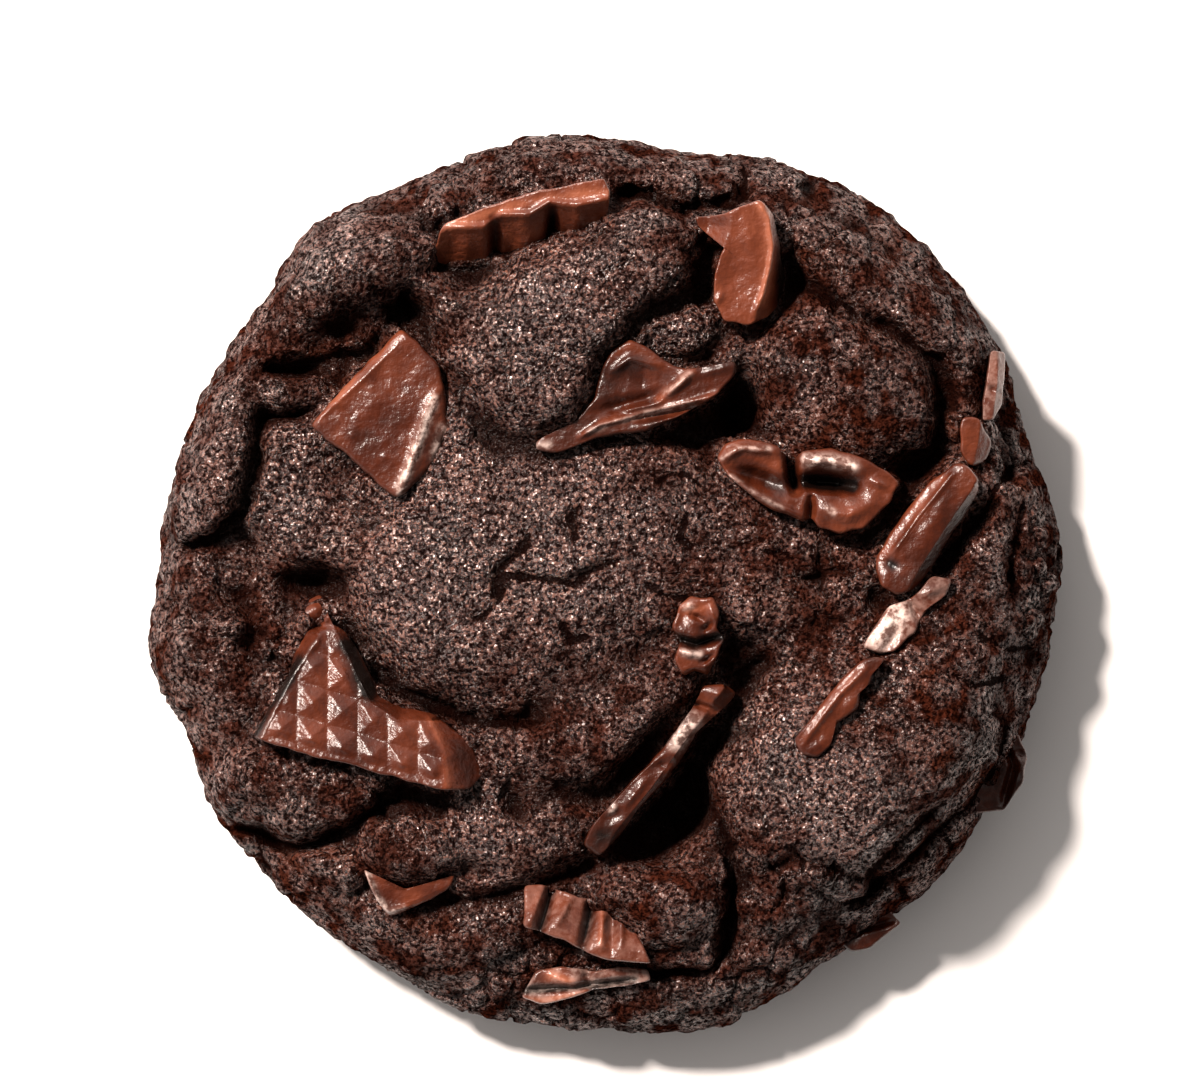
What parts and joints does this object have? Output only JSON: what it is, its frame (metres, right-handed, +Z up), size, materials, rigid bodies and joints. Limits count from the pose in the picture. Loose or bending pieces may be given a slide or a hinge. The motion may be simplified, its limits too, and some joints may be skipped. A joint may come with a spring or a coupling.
{
  "type": "double chocolate chunk cookie",
  "caption": "Thick round cocoa cookie with a folded, craggy top and chocolate chunks sunk into it, lying flat.",
  "frame": {"origin": "middle of the cookie's flat underside, on the surface it lies on", "axes": "+Z up through the cookie's thickness; +Y towards the side with the high mound and the scalloped chunk; +X towards the side with the smooth bar"},
  "size_m": [0.092, 0.0905, 0.0214],
  "materials": {
    "dough": "baked cocoa dough, dark brown, craggy with fine sugar and butter sheen",
    "chocolate": "chocolate, glossy where it melted"
  },
  "bodies": {
    "root": {"dough": "dough", "waffle_chunk": "chocolate", "square_chunk": "chocolate", "curved_slab": "chocolate", "pool_chunk": "chocolate", "twin_chunk": "chocolate", "ribbed_slab": "chocolate", "rim_wedge": "chocolate", "crag_chunk": "chocolate", "side_chunk": "chocolate", "foot_chunk": "chocolate", "scalloped_bar": "chocolate", "smooth_bar": "chocolate", "edge_plate": "chocolate", "upper_drip": "chocolate", "lower_drip": "chocolate", "long_streak": "chocolate", "crescent_chunk": "chocolate", "rim_streak": "chocolate"}
  },
  "joints": []
}
